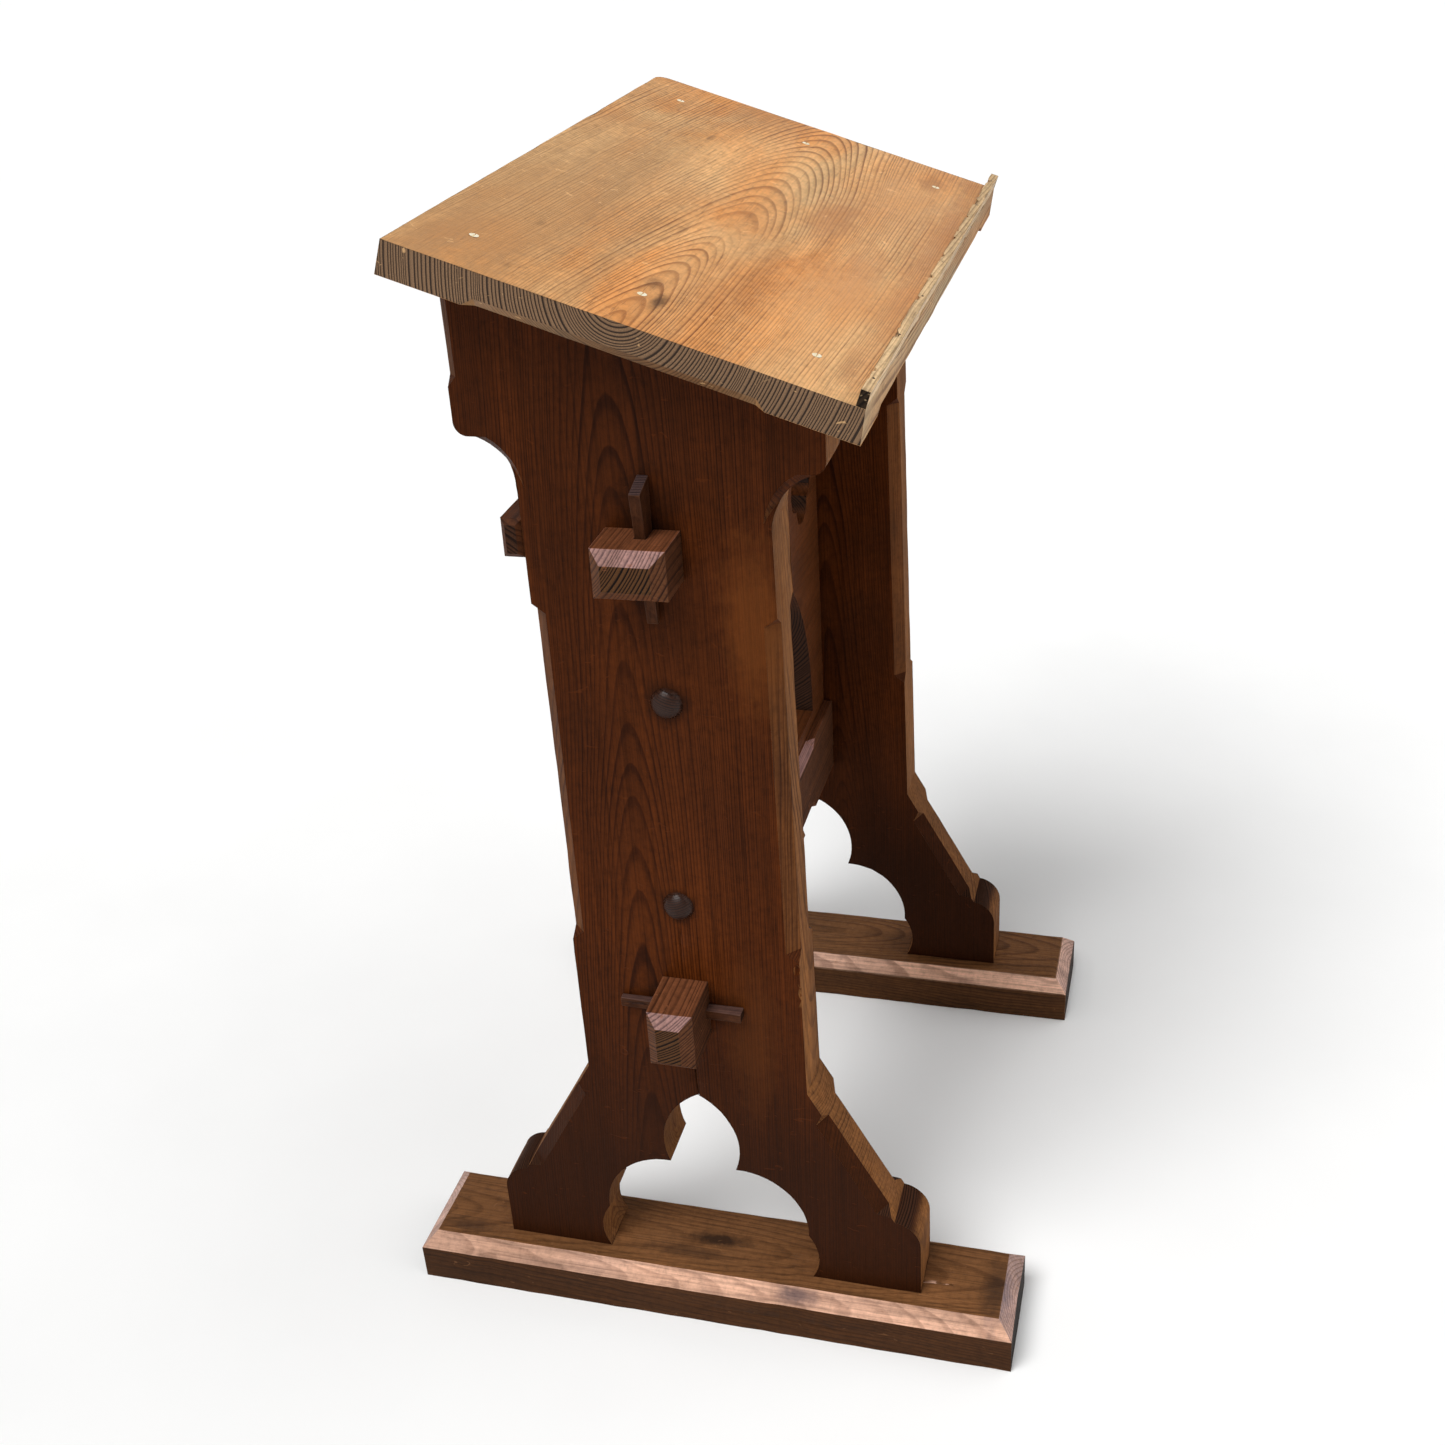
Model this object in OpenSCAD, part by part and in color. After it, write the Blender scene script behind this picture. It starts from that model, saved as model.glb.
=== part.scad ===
// Gothic-pattern standing lectern in pitch pine: two pierced end panels on
// sledge feet, two wedged through-tenon rails, a pierced tracery panel and a
// sloping desk board with a book ledge.
// Frame: origin on the floor at the middle, X along the desk with the
// reader's left at -X, the reader stands on the -Y side, Z up.

/* [Overall] */
// Distance between the outer faces of the two end panels
span = 626; // [560:1:700]
// Thickness of an end panel
panel_t = 57; // [52:1:60]

/* [Sledge feet] */
// Length of a sledge foot, front to back
sledge_l = 636; // [560:1:700]
// Width of a sledge foot
sledge_w = 120; // [112:1:140]
// Height of a sledge foot
sledge_h = 56; // [50:1:64]
// How far a sledge foot shows outside its end panel
sledge_out = 32; // [28:1:40]
// Chamfer round the top of a sledge foot
sledge_chamfer = 15; // [8:1:18]

/* [End panels] */
// Half the width over the outside of the two feet
foot_half = 222; // [205:1:235]
// Radius of the rounded shoulder of a foot
shoulder_r = 30; // [24:1:34]
// Height of the centre of the shoulder arc
shoulder_z = 118; // [112:1:124]
// Half the width where the flare leaves the waist
flare_half = 112; // [106:1:118]
// Height where the flare leaves the waist
flare_z = 299; // [290:1:310]
// Slope of the flare from the level
flare_slope = 61; // [58:1:64]
// Back edge of the waist below the capital
waist_back = 114; // [110:1:118]
// Front edge of the waist below the capital
waist_front = 104; // [100:1:110]
// Back edge of the capital
capital_back = 164; // [160:1:168]
// Front edge of the capital
capital_front = 151; // [148:1:156]
// Height of the underside of the capital at the back
capital_back_z = 958; // [950:1:966]
// Height of the underside of the capital at the front
capital_front_z = 936; // [928:1:942]
// Radius of the hollow under the capital
cavetto_r = 50; // [44:1:52]
// Chamfer of the hollow on both faces
cavetto_chamfer = 7; // [4:1:9]
// Chamfer of the waist and the flare
panel_chamfer = 12; // [6:1:14]

/* [Foot arch] */
// Half the span of the pointed top lobe at its springing
lancet_half = 39.5; // [34:0.5:42]
// Radius of the arcs of the pointed top lobe
lancet_r = 73.5; // [68:0.5:80]
// Height of the springing of the top lobe
lancet_z = 215; // [208:1:222]
// Radius of the two side lobes
lobe_r = 71; // [68:1:73]
// Sideways offset of the side lobes
lobe_y = 36; // [33:1:38]
// Height of the centres of the side lobes
lobe_z = 117; // [112:1:120]

/* [Desk] */
// Length of the desk board
desk_l = 734; // [690:1:780]
// Depth of the desk board along the slope
desk_d = 392; // [370:1:410]
// Thickness of the desk board
desk_t = 29; // [24:1:32]
// Slope of the desk
desk_slope = 18.4; // [15:0.1:20]
// Back edge of the desk's top face
desk_y = 178; // [172:1:184]
// Height of the high edge of the desk
desk_z = 1134; // [1120:1:1150]
// Stopped chamfer under the desk
desk_chamfer = 8; // [5:1:12]
// Thickness of the book ledge
ledge_t = 8; // [6:0.5:12]
// Height of the book ledge
ledge_h = 14; // [10:1:20]

/* [Rails] */
// Width of the top rail and its tenons
top_rail_w = 65; // [56:1:70]
// Height of the top rail
top_rail_h = 69; // [61:1:80]
// Height of the top tenon
top_tenon_h = 45; // [40:1:50]
// Height of the underside of the top tenon
top_tenon_z = 838; // [830:1:846]
// How far the top tenons stand out
top_tenon_out = 55; // [48:1:60]
// Thickness of the bottom rail and its tenons
bottom_rail_w = 45; // [40:1:48]
// Height of the bottom rail
bottom_rail_h = 90; // [84:1:96]
// Height of the bottom tenon
bottom_tenon_h = 61; // [54:1:66]
// Height of the underside of the bottom tenon
bottom_tenon_z = 361; // [355:1:367]
// How far the bottom tenons stand out
bottom_tenon_out = 66; // [56:1:70]
// Chamfer round a tenon's end
tenon_chamfer = 11; // [5:1:12]

/* [Wedges] */
// Length of a wedge that goes down through a top tenon
top_wedge_l = 132; // [115:1:135]
// Width of a top wedge
top_wedge_w = 10; // [8:0.5:12]
// Depth of a top wedge at its thick end
top_wedge_thick = 26; // [22:1:30]
// Depth of a top wedge at its thin end
top_wedge_thin = 6; // [5:1:10]
// Length of a wedge that goes across through a bottom tenon
bottom_wedge_l = 121; // [110:1:125]
// Height of a bottom wedge
bottom_wedge_h = 10; // [9:0.5:12]
// Depth of a bottom wedge at its thick end
bottom_wedge_thick = 13; // [11:1:18]
// Depth of a bottom wedge at its thin end
bottom_wedge_thin = 7; // [5:1:9]
// Clearance round a wedge
wedge_gap = 0.3; // [0.2:0.1:0.5]

/* [Tracery panel] */
// Thickness of the tracery panel
tracery_t = 22; // [18:1:24]
// Half the width of a lancet opening
light_half = 87; // [70:1:90]
// Radius of the arcs of a lancet opening
light_r = 240; // [210:1:260]
// Distance of a lancet opening from the middle
light_x = 110; // [106:1:116]
// Height of the sill of the lancet openings
light_sill = 440; // [434:1:446]
// Height of the springing of the lancet openings
light_z = 455; // [448:1:470]
// Radius of a quatrefoil's lobes
foil_r = 24; // [18:1:27]
// Offset of a quatrefoil's lobes from its centre
foil_offset = 22; // [16:1:26]
// Distance of the outer quatrefoils from the middle
foil_x = 181; // [160:1:190]
// Height of the quatrefoils
foil_z = 733; // [700:1:740]

/* [Fixings] */
// Diameter of a domed peg head
peg_head_d = 30; // [22:1:32]
// Diameter of a peg's shank
peg_d = 14; // [10:1:16]
// Heights of the two pegs in each end panel
peg_z = [506, 720]; // [480:1:740]
// Places of the same two pegs, front to back
peg_y = [3, -2]; // [-6:1:6]
// Diameter of a desk screw's head
screw_head_d = 8; // [7:0.5:10]
// Diameter of a screw's shank
screw_d = 4.5; // [4:0.5:5]
// Length of a desk screw
screw_l = 60; // [50:1:70]
// Places of the desk screws down the slope
screw_s = [48, 191, 337]; // [40:1:350]
// Thickness of the rear rail
rear_rail_t = 20; // [16:1:24]
// Height of the rear rail
rear_rail_h = 36; // [30:1:42]
// Height of the underside of the rear rail
rear_rail_z = 850; // [840:1:856]

/* [Hidden] */
$fn = 96;

// Overrun of a cutter past the face that it cuts
eps = 1;
// Overlap of two pieces of one solid
join = 0.01;
outer_x = -span / 2;
inner_x = outer_x + panel_t;
inner_span = span - 2 * panel_t;

// Waist and flare lines of an end panel
cavetto_back_z = capital_back_z - cavetto_r;
cavetto_front_z = capital_front_z - cavetto_r;
flare_l = 173;
flare_drop = flare_l * sin(flare_slope);
flare_foot_half = flare_half + flare_l * cos(flare_slope);
nose_r = 12;
panel_top_z = desk_z + 20;

// Stops of the chamfers on the waist, and how far a stop runs out
waist_chamfer_z = [455, 808];
panel_stop = 9;
flare_chamfer_from = 28;
flare_chamfer_to = 166;
capital_chamfer_z = 1000;
capital_chamfer = 8;
// Height over the hollow's axis at which its chamfer stops, and the stop's slant
cavetto_stop_z = 14;
cavetto_stop_rise = 10;

// Small lobes at the foot of the arch, and the opening between them
heel_y = 67;
heel_z = 82;
heel_r = 50;
arch_foot_half = 80;
arch_foot_top = 150;
// Height over the side lobes' centres where the pointed lobe takes over
arch_join = 40;

// Stub tenons that enter the sledge feet
stub_t = 20;
stub_d = 36;
stub_w = 72;
stub_y = 168;

// Rails, in the depth direction
top_rail_y = -26;
top_rail_z = top_tenon_z - (top_rail_h - top_tenon_h) / 2;
bottom_rail_y = -20;
bottom_rail_z = 334;
rail_chamfer = 9;
rail_top_chamfer_l = 322;
rail_low_chamfer_l = 310;
groove_d = 10;
tracery_y = -10;
// How far a peg runs past its panel, into the tracery panel
peg_reach = 34;
peg_l = panel_t + peg_reach;
peg_head_h = 10;
slot_inset = 3;

// Wedges, seated
top_wedge_y = 2.5;
top_wedge_under = 39;
top_wedge_z = top_tenon_z - top_wedge_under;
top_wedge_fall = 8;
bottom_wedge_front = 34;
bottom_wedge_y = bottom_rail_y - bottom_wedge_front;
bottom_wedge_z = bottom_tenon_z + bottom_tenon_h / 2;

// Desk
desk_corner_r = 14;
desk_stop_from_end = 72;
desk_front_run = desk_t * tan(desk_slope) / 2;
desk_screw_in = 19.5;
desk_screw_x = span / 2 - desk_screw_in;
nail_count = 7;
nail_d = 2;
nail_l = 30;
nail_margin = 30;

// Screws: the point, the slot in the head
screw_point_l = 6;
screw_tip_d = 1;
screw_slot_w = 1;
screw_slot_depth = 0.9;

// Rear rail
rear_screw_l = 45;
rear_rail_over = 2;
rear_rail_chamfer = 5;

pine_top = [0.72, 0.47, 0.25];
pine_dark = [0.40, 0.20, 0.10];
pine_foot = [0.50, 0.31, 0.18];
bog_wood = [0.27, 0.15, 0.10];
brass = [0.80, 0.70, 0.40];
iron = [0.30, 0.28, 0.26];

function waist_back_y(z) =
    flare_half + (waist_back - flare_half) * (z - flare_z) / (cavetto_back_z - flare_z);
function waist_front_y(z) =
    flare_half + (waist_front - flare_half) * (z - flare_z) / (cavetto_front_z - flare_z);

// ---- shared shapes ----

// Extrudes an outline drawn in (Y, Z) along X
module along_x(x, length) {
    translate([x, 0, 0]) rotate([90, 0, 90]) linear_extrude(length) children();
}

// Extrudes an outline drawn in (X, Z) along Y
module along_y(y, length) {
    translate([0, y + length, 0]) rotate([90, 0, 0]) linear_extrude(length) children();
}

// Cutter for a stopped chamfer on an arris that runs along Z from 0 to length,
// where the wood lies towards -X and -Y
module stopped_chamfer(length, leg, stop_low, stop_high) {
    depth = leg / sqrt(2);
    width = leg * sqrt(2) + 2 * eps;
    rotate([0, 0, 45]) rotate([90, 0, 0]) translate([0, 0, -width / 2])
        linear_extrude(width)
            polygon([[-depth, stop_low],
                     [eps, -stop_low * eps / depth],
                     [eps, length + stop_high * eps / depth],
                     [-depth, length - stop_high]]);
}

// Stopped chamfer on an end panel's arris from p to q, both in (Y, Z). Seen
// from -X, the wood lies to the left of the way from p to q.
module panel_arris(x, outward, p, q, leg, stop_low = panel_stop, stop_high = panel_stop) {
    run = q - p;
    translate([x, p[0], p[1]]) rotate([-atan2(run[0], run[1]), 0, 0])
        mirror([outward < 0 ? 1 : 0, 0, 0])
            stopped_chamfer(norm(run), leg, stop_low, stop_high);
}

// Turns its children into the desk's own frame: origin on the high edge of
// the top face, -Y down the slope, Z square to the board
module on_desk() {
    translate([0, desk_y, desk_z]) rotate([desk_slope, 0, 0]) children();
}

// Solid form of a countersunk screw with its head's top at the origin, pointing
// down: also the hole that it fills
module screw_hole(length) {
    head_h = (screw_head_d - screw_d) / 2;
    shank_l = length - screw_point_l - head_h;
    translate([0, 0, -head_h]) cylinder(d1 = screw_d, d2 = screw_head_d, h = head_h);
    translate([0, 0, screw_point_l - length]) cylinder(d = screw_d, h = shank_l + join);
    translate([0, 0, -length]) cylinder(d1 = screw_tip_d, d2 = screw_d, h = screw_point_l + join);
}

// The screw itself, with the slot in its head
module screw(length) {
    difference() {
        screw_hole(length);
        translate([-screw_head_d, -screw_slot_w / 2, -screw_slot_depth])
            cube([2 * screw_head_d, screw_slot_w, 2 * screw_slot_depth]);
    }
}

// ---- end panels ----

// Outer shape of one end panel in (Y, Z)
module panel_outline() {
    difference() {
        union() {
            polygon([[-foot_half, sledge_h],
                     [foot_half, sledge_h],
                     [foot_half, shoulder_z],
                     [flare_foot_half, flare_z - flare_drop],
                     [flare_half, flare_z],
                     [waist_back, cavetto_back_z],
                     [capital_back - nose_r, cavetto_back_z],
                     [capital_back - nose_r, capital_back_z],
                     [capital_back, capital_back_z + nose_r],
                     [capital_back, panel_top_z],
                     [-capital_front, panel_top_z],
                     [-capital_front, capital_front_z + nose_r],
                     [nose_r - capital_front, capital_front_z],
                     [nose_r - capital_front, cavetto_front_z],
                     [-waist_front, cavetto_front_z],
                     [-flare_half, flare_z],
                     [-flare_foot_half, flare_z - flare_drop],
                     [-foot_half, shoulder_z]]);
            for (side = [-1, 1])
                translate([side * (foot_half - shoulder_r), shoulder_z]) circle(shoulder_r);
            translate([capital_back - nose_r, capital_back_z + nose_r]) circle(nose_r);
            translate([nose_r - capital_front, capital_front_z + nose_r]) circle(nose_r);
        }
        translate([waist_back + cavetto_r, cavetto_back_z]) circle(cavetto_r);
        translate([-waist_front - cavetto_r, cavetto_front_z]) circle(cavetto_r);
    }
}

// Cusped arch between the feet in (Y, Z)
module foot_arch() {
    centre = lancet_r - lancet_half;
    difference() {
        intersection() {
            translate([centre, lancet_z]) circle(lancet_r);
            translate([-centre, lancet_z]) circle(lancet_r);
        }
        translate([-foot_half, 0]) square([2 * foot_half, lobe_z + arch_join]);
    }
    for (side = [-1, 1]) {
        translate([side * lobe_y, lobe_z]) circle(lobe_r);
        translate([side * heel_y, heel_z]) circle(heel_r);
    }
    translate([-arch_foot_half, 0]) square([2 * arch_foot_half, arch_foot_top]);
}

// Chamfer of the hollow under the capital, round the axis (y, z)
module cavetto_chamfer_cut(y, z, top_z) {
    reach = cavetto_r + cavetto_chamfer + eps;
    stop_z = z + cavetto_stop_z;
    intersection() {
        translate([outer_x - eps, y, z]) rotate([0, 90, 0])
            cylinder(r1 = reach, r2 = cavetto_r, h = cavetto_chamfer + eps);
        along_y(y - reach, 2 * reach)
            polygon([[outer_x - eps, stop_z - cavetto_stop_rise],
                     [outer_x + cavetto_chamfer, stop_z + cavetto_stop_rise],
                     [outer_x + cavetto_chamfer, top_z],
                     [outer_x - eps, top_z]]);
    }
}

// Every chamfer that one face of a panel carries
module face_chamfers(x, outward) {
    waist = waist_chamfer_z;
    flare_dir = [cos(flare_slope), -sin(flare_slope)];
    flare_top = [flare_half, flare_z] + flare_chamfer_from * flare_dir;
    flare_low = [flare_half, flare_z] + flare_chamfer_to * flare_dir;
    panel_arris(x, outward, [waist_back_y(waist[0]), waist[0]],
                [waist_back_y(waist[1]), waist[1]], panel_chamfer);
    panel_arris(x, outward, [-waist_front_y(waist[1]), waist[1]],
                [-waist_front_y(waist[0]), waist[0]], panel_chamfer);
    panel_arris(x, outward, flare_low, flare_top, panel_chamfer);
    panel_arris(x, outward, [-flare_top[0], flare_top[1]],
                [-flare_low[0], flare_low[1]], panel_chamfer);
    panel_arris(x, outward, [capital_back, capital_chamfer_z],
                [capital_back, panel_top_z], capital_chamfer, panel_stop, 0);
}

// The space over the desk board's underside
module above_desk_underside() {
    on_desk() translate([-span, -1.5 * desk_d, -desk_t])
        cube([2 * span, 2 * desk_d, desk_d]);
}

module left_panel_shape() {
    difference() {
        union() {
            difference() {
                along_x(outer_x, panel_t) panel_outline();
                along_x(outer_x - eps, panel_t + 2 * eps) foot_arch();
                face_chamfers(outer_x, -1);
                face_chamfers(inner_x, 1);
                for (mid = [0, 1])
                    translate([mid * 2 * (outer_x + panel_t / 2), 0, 0]) mirror([mid, 0, 0]) {
                        cavetto_chamfer_cut(waist_back + cavetto_r, cavetto_back_z,
                                            capital_back_z);
                        cavetto_chamfer_cut(-waist_front - cavetto_r, cavetto_front_z,
                                            capital_front_z);
                    }
                above_desk_underside();
            }
            for (side = [-1, 1])
                translate([outer_x + (panel_t - stub_t) / 2, side * stub_y - stub_w / 2,
                           sledge_h - stub_d])
                    cube([stub_t, stub_w, stub_d + 2 * eps]);
        }
        translate([outer_x - eps, top_rail_y, top_tenon_z])
            cube([panel_t + 2 * eps, top_rail_w, top_tenon_h]);
        translate([outer_x - eps, bottom_rail_y, bottom_tenon_z])
            cube([panel_t + 2 * eps, bottom_rail_w, bottom_tenon_h]);
        for (i = [0, 1])
            translate([outer_x - eps, peg_y[i], peg_z[i]]) rotate([0, 90, 0])
                cylinder(d = peg_d, h = panel_t + 2 * eps);
        left_desk_screw_holes();
        rear_screw_place() screw_hole(rear_screw_l);
    }
}

module left_end_panel() {
    color(pine_dark) left_panel_shape();
}

module right_end_panel() {
    color(pine_dark) mirror([1, 0, 0]) left_panel_shape();
}

// ---- sledge feet ----

// Outline of a sledge foot's section in (X, Z), with the chamfered top
module sledge_section(w) {
    c = sledge_chamfer;
    polygon([[0, 0], [w, 0], [w, sledge_h - c], [w - c, sledge_h], [c, sledge_h], [0, sledge_h - c]]);
}

module left_sledge_shape() {
    difference() {
        intersection() {
            along_y(-sledge_l / 2, sledge_l)
                translate([outer_x - sledge_out, 0]) sledge_section(sledge_w);
            along_x(outer_x - sledge_out, sledge_w)
                translate([-sledge_l / 2, 0]) sledge_section(sledge_l);
        }
        for (side = [-1, 1])
            translate([outer_x + (panel_t - stub_t) / 2, side * stub_y - stub_w / 2,
                       sledge_h - stub_d])
                cube([stub_t, stub_w, stub_d + eps]);
    }
}

module left_sledge_foot() {
    color(pine_foot) left_sledge_shape();
}

module right_sledge_foot() {
    color(pine_foot) mirror([1, 0, 0]) left_sledge_shape();
}

// ---- desk ----

// Places its children at each of the left end's desk screws
module left_desk_screw_places() {
    for (s = screw_s)
        on_desk() translate([-desk_screw_x, -s, 0]) children();
}

module left_desk_screw_holes() {
    left_desk_screw_places() screw_hole(screw_l);
}

// Section of the desk board in its own (Y, Z), with a plumb front edge
module desk_section() {
    polygon([[0, 0], [0, -desk_t], [-desk_d - desk_front_run, -desk_t], [-desk_d, 0]]);
}

module desk_board() {
    end_x = desk_l / 2;
    end_run = desk_d - 2 * desk_stop_from_end;
    front_run = desk_l - 2 * desk_stop_from_end;
    color(pine_top) difference() {
        on_desk() difference() {
            along_x(-end_x, desk_l) desk_section();
            // rounded back corner at the reader's right
            translate([end_x - desk_corner_r, -desk_corner_r, -desk_t - eps]) difference() {
                cube([2 * desk_corner_r, 2 * desk_corner_r, desk_t + 2 * eps]);
                cylinder(r = desk_corner_r, h = desk_t + 2 * eps);
            }
            // stopped chamfers under both ends
            for (side = [0, 1])
                mirror([side, 0, 0])
                    translate([end_x, -desk_stop_from_end, -desk_t])
                        rotate([90, 0, 0]) rotate([0, 0, -90])
                            stopped_chamfer(end_run, desk_chamfer, panel_stop, panel_stop);
            // stopped chamfer under the front edge
            translate([-front_run / 2, -desk_d - desk_front_run, -desk_t])
                rotate([0, 90, 0]) rotate([0, 0, -90 + desk_slope])
                    stopped_chamfer(front_run, desk_chamfer, panel_stop, panel_stop);
        }
        for (side = [0, 1])
            mirror([side, 0, 0]) left_desk_screw_holes();
        ledge_nail_places() cylinder(d = nail_d, h = 2 * nail_l, center = true);
    }
}

module book_ledge() {
    color(pine_dark) difference() {
        on_desk() translate([-desk_l / 2, -desk_d, 0]) cube([desk_l, ledge_t, ledge_h]);
        ledge_nail_places() cylinder(d = nail_d, h = 2 * nail_l, center = true);
    }
}

// Places its children on the ledge's top edge, down the middle of it
module ledge_nail_places() {
    pitch = (desk_l - 2 * nail_margin) / (nail_count - 1);
    for (i = [0 : nail_count - 1])
        on_desk() translate([-desk_l / 2 + nail_margin + i * pitch, -desk_d + ledge_t / 2, ledge_h])
            children();
}

module ledge_nails() {
    color(iron) ledge_nail_places() translate([0, 0, -nail_l]) cylinder(d = nail_d, h = nail_l);
}

module left_desk_screws() {
    color(brass) left_desk_screw_places() screw(screw_l);
}

module right_desk_screws() {
    color(brass) mirror([1, 0, 0]) left_desk_screw_places() screw(screw_l);
}

// ---- rails ----

// Outline of a bar's long side in its own plane, with chamfered end corners
module bar_with_chamfered_ends(half, low, high, c) {
    polygon([[-half, low + c], [-half + c, low], [half - c, low], [half, low + c],
             [half, high - c], [half - c, high], [-half + c, high], [-half, high - c]]);
}

// A bar along X whose end faces are chamfered all round
module end_chamfered_bar(half, y, w, z, h, c) {
    intersection() {
        along_y(y, w) bar_with_chamfered_ends(half, z, z + h, c);
        translate([0, 0, z]) linear_extrude(h) bar_with_chamfered_ends(half, y, y + w, c);
    }
}

// Slot in the left top tenon that takes its wedge
module top_wedge_slot() {
    far = outer_x - wedge_gap;
    gap = 2 * wedge_gap;
    along_y(top_wedge_y - top_wedge_w / 2 - wedge_gap, top_wedge_w + gap)
        polygon([[outer_x + slot_inset, top_wedge_z],
                 [far - gap - top_wedge_thin, top_wedge_z],
                 [far - gap - top_wedge_thick, top_wedge_z + top_wedge_l - top_wedge_fall],
                 [outer_x + slot_inset, top_wedge_z + top_wedge_l - top_wedge_fall]]);
}

// Slot in the left bottom tenon that takes its wedge
module bottom_wedge_slot() {
    far = outer_x - wedge_gap;
    gap = 2 * wedge_gap;
    translate([0, 0, bottom_wedge_z - bottom_wedge_h / 2 - wedge_gap])
        linear_extrude(bottom_wedge_h + gap)
            polygon([[outer_x + slot_inset, bottom_wedge_y],
                     [far - gap - bottom_wedge_thick, bottom_wedge_y],
                     [far - gap - bottom_wedge_thin, bottom_wedge_y + bottom_wedge_l],
                     [outer_x + slot_inset, bottom_wedge_y + bottom_wedge_l]]);
}

module top_rail() {
    color(pine_dark) difference() {
        union() {
            end_chamfered_bar(span / 2 + top_tenon_out, top_rail_y, top_rail_w,
                              top_tenon_z, top_tenon_h, tenon_chamfer);
            translate([-inner_span / 2, top_rail_y, top_rail_z])
                cube([inner_span, top_rail_w, top_rail_h]);
        }
        for (side = [0, 1])
            mirror([side, 0, 0]) top_wedge_slot();
        translate([-inner_span, tracery_y, top_rail_z - eps])
            cube([2 * inner_span, tracery_t, groove_d + eps]);
    }
}

module bottom_rail() {
    top = bottom_rail_z + bottom_rail_h;
    color(pine_dark) difference() {
        union() {
            end_chamfered_bar(span / 2 + bottom_tenon_out, bottom_rail_y, bottom_rail_w,
                              bottom_tenon_z, bottom_tenon_h, tenon_chamfer);
            translate([-inner_span / 2, bottom_rail_y, bottom_rail_z])
                cube([inner_span, bottom_rail_w, bottom_rail_h]);
        }
        for (side = [0, 1])
            mirror([side, 0, 0]) bottom_wedge_slot();
        translate([-inner_span / 2, tracery_y, top - groove_d])
            cube([inner_span, tracery_t, groove_d + eps]);
        // stopped chamfers on the two front arrises
        translate([-rail_top_chamfer_l / 2, bottom_rail_y, top])
            rotate([0, 90, 0]) rotate([0, 0, 180])
                stopped_chamfer(rail_top_chamfer_l, rail_chamfer, panel_stop, panel_stop);
        translate([-rail_low_chamfer_l / 2, bottom_rail_y, bottom_rail_z])
            rotate([0, 90, 0]) rotate([0, 0, -90])
                stopped_chamfer(rail_low_chamfer_l, panel_chamfer, panel_stop, panel_stop);
    }
}

// Pointed opening in (X, Z), centred on x
module lancet_light(x) {
    centre = light_r - light_half;
    intersection() {
        translate([x + centre, light_z]) circle(light_r);
        translate([x - centre, light_z]) circle(light_r);
        translate([x - light_half, light_z]) square([2 * light_half, light_r]);
    }
    translate([x - light_half, light_sill]) square([2 * light_half, light_z - light_sill + join]);
}

// Four-lobed opening in (X, Z), centred on (x, z)
module quatrefoil(x, z) {
    for (turn = [0 : 90 : 270])
        translate([x + foil_offset * cos(turn), z + foil_offset * sin(turn)]) circle(foil_r);
}

module tracery_panel() {
    low = bottom_rail_z + bottom_rail_h - groove_d;
    high = top_rail_z + groove_d;
    color(pine_dark) difference() {
        along_y(tracery_y, tracery_t) difference() {
            translate([-inner_span / 2, low]) square([inner_span, high - low]);
            for (side = [-1, 1])
                lancet_light(side * light_x);
            for (place = [-1, 0, 1])
                quatrefoil(place * foil_x, foil_z);
        }
        for (side = [0, 1], i = [0, 1])
            mirror([side, 0, 0]) translate([outer_x, peg_y[i], peg_z[i]]) rotate([0, 90, 0])
                cylinder(d = peg_d, h = peg_l);
    }
}

// Puts its children at the left rear screw, which points at -Y
module rear_screw_place() {
    translate([outer_x + panel_t / 2, waist_back + rear_rail_t, rear_rail_z + rear_rail_h / 2])
        rotate([-90, 0, 0]) children();
}

module rear_rail() {
    color(bog_wood) difference() {
        end_chamfered_bar(span / 2 + rear_rail_over, waist_back, rear_rail_t,
                          rear_rail_z, rear_rail_h, rear_rail_chamfer);
        for (side = [0, 1])
            mirror([side, 0, 0]) rear_screw_place() screw_hole(rear_screw_l);
    }
}

module rear_rail_screws() {
    color(iron) for (side = [0, 1])
        mirror([side, 0, 0]) rear_screw_place() screw(rear_screw_l);
}

// ---- wedges ----

module top_wedge_shape() {
    face = outer_x - wedge_gap;
    along_y(top_wedge_y - top_wedge_w / 2, top_wedge_w)
        polygon([[face, top_wedge_z],
                 [face - top_wedge_thin, top_wedge_z],
                 [face - top_wedge_thick, top_wedge_z + top_wedge_l - top_wedge_fall],
                 [face, top_wedge_z + top_wedge_l]]);
}

module bottom_wedge_shape() {
    face = outer_x - wedge_gap;
    translate([0, 0, bottom_wedge_z - bottom_wedge_h / 2])
        linear_extrude(bottom_wedge_h)
            polygon([[face, bottom_wedge_y],
                     [face - bottom_wedge_thick, bottom_wedge_y],
                     [face - bottom_wedge_thin, bottom_wedge_y + bottom_wedge_l],
                     [face, bottom_wedge_y + bottom_wedge_l]]);
}

module left_top_wedge() {
    color(bog_wood) top_wedge_shape();
}

module right_top_wedge() {
    color(bog_wood) mirror([1, 0, 0]) top_wedge_shape();
}

module left_bottom_wedge() {
    color(bog_wood) bottom_wedge_shape();
}

module right_bottom_wedge() {
    color(bog_wood) mirror([1, 0, 0]) bottom_wedge_shape();
}

// ---- pegs ----

// One of the turned pegs in the left panel, with a low domed head
module left_peg(i) {
    ball_r = (pow(peg_head_d / 2, 2) + pow(peg_head_h, 2)) / (2 * peg_head_h);
    translate([outer_x, peg_y[i], peg_z[i]]) rotate([0, 90, 0]) {
        cylinder(d = peg_d, h = peg_l);
        intersection() {
            translate([0, 0, ball_r - peg_head_h]) sphere(r = ball_r);
            translate([0, 0, -peg_head_h]) cylinder(d = peg_head_d, h = peg_head_h);
        }
    }
}

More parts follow.
